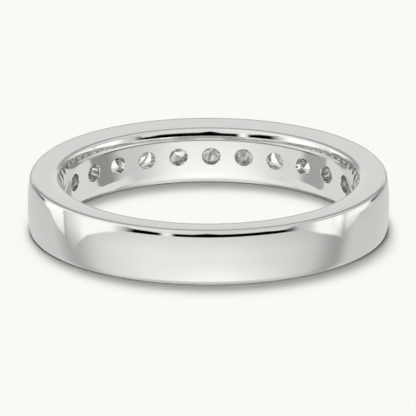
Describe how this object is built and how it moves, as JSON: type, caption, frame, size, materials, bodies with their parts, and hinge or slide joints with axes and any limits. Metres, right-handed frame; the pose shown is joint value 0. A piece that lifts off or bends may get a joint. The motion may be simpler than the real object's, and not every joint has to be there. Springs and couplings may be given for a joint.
{
  "type": "channel set band",
  "caption": "Finger ring: a plain polished band with a rounded finger hole and a thicker head that holds a row of round brilliants in a channel, over pierced holes.",
  "frame": {"origin": "middle of the finger hole, on its axis and half-way between the side faces", "axes": "+Z along the finger hole's axis, upwards as the ring lies on its side; +Y from the axis to the middle of the stone-set head; +X to the right seen from the plain shank"},
  "size_m": [0.021, 0.0217, 0.0032],
  "materials": {
    "metal": "polished white gold",
    "stone": "polished facets"
  },
  "bodies": {
    "root": {"band": "metal", "stone_1": "stone", "stone_2": "stone", "stone_3": "stone", "stone_4": "stone", "stone_5": "stone", "stone_6": "stone", "stone_7": "stone", "stone_8": "stone", "stone_9": "stone", "stone_10": "stone", "stone_11": "stone"}
  },
  "joints": []
}
